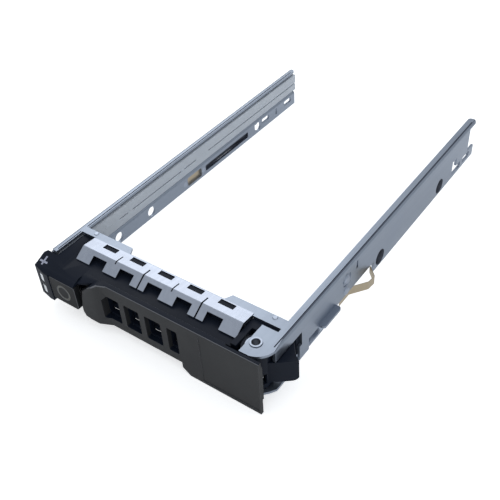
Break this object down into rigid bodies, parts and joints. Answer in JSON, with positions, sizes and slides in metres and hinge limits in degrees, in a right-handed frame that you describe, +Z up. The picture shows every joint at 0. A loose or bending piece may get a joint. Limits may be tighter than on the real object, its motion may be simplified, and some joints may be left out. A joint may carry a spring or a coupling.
{
  "type": "hot swap drive caddy",
  "caption": "Hot swap caddy for a 2.5 inch drive: folded steel tray with side rails, vented bezel, swinging eject lever, release button and light pipes.",
  "frame": {"origin": "middle of the caddy's footprint, at the level of its lowest edge, the foot of the handle's skirt", "axes": "+X across the bay to the hinge side seen from the front, +Y to the rear along the rails, +Z up"},
  "size_m": [0.083, 0.1336, 0.0192],
  "materials": {
    "tray_steel": "zinc plated, satin",
    "black_plastic": "fine texture",
    "grey_plastic": "fine texture",
    "button_plastic": "fine texture",
    "rivet_steel": "bright",
    "spring_steel": "bright",
    "clear_plastic": "clear, polished",
    "gasket_steel": "bright spring strip",
    "clip_copper": "satin"
  },
  "bodies": {
    "frame": {"tray": "tray_steel", "bezel_body": "black_plastic", "pivot_rivet": "rivet_steel", "pivot_washer_upper": "rivet_steel", "pivot_washer_lower": "rivet_steel", "torsion_spring": "spring_steel", "button_spring": "spring_steel", "latch_spring": "spring_steel", "light_pipe_upper": "clear_plastic", "light_pipe_lower": "clear_plastic", "gasket_top": "gasket_steel", "gasket_bottom": "gasket_steel", "ground_clip_left": "clip_copper", "ground_clip_right": "clip_copper", "bezel_rivets": "rivet_steel", "clip_rivets_left": "rivet_steel", "clip_rivets_right": "rivet_steel"},
    "lever": {"eject_lever": "black_plastic", "handle_cover": "grey_plastic"},
    "button": {"release_button": "button_plastic"}
  },
  "joints": [
    {"name": "lever_swing", "type": "hinge", "parent": "frame", "child": "lever", "pos_m": [0.0315, -0.05815, 0.0112], "axis": [0, 0, 1], "range_deg": [0, 45], "deforming": ["latch_spring", "torsion_spring"]},
    {"name": "release_press", "type": "slide", "parent": "frame", "child": "button", "axis": [0, 1, 0], "range_m": [0, 0.0015], "stiffness_N_per_m": 300, "deforming": ["button_spring"]}
  ]
}
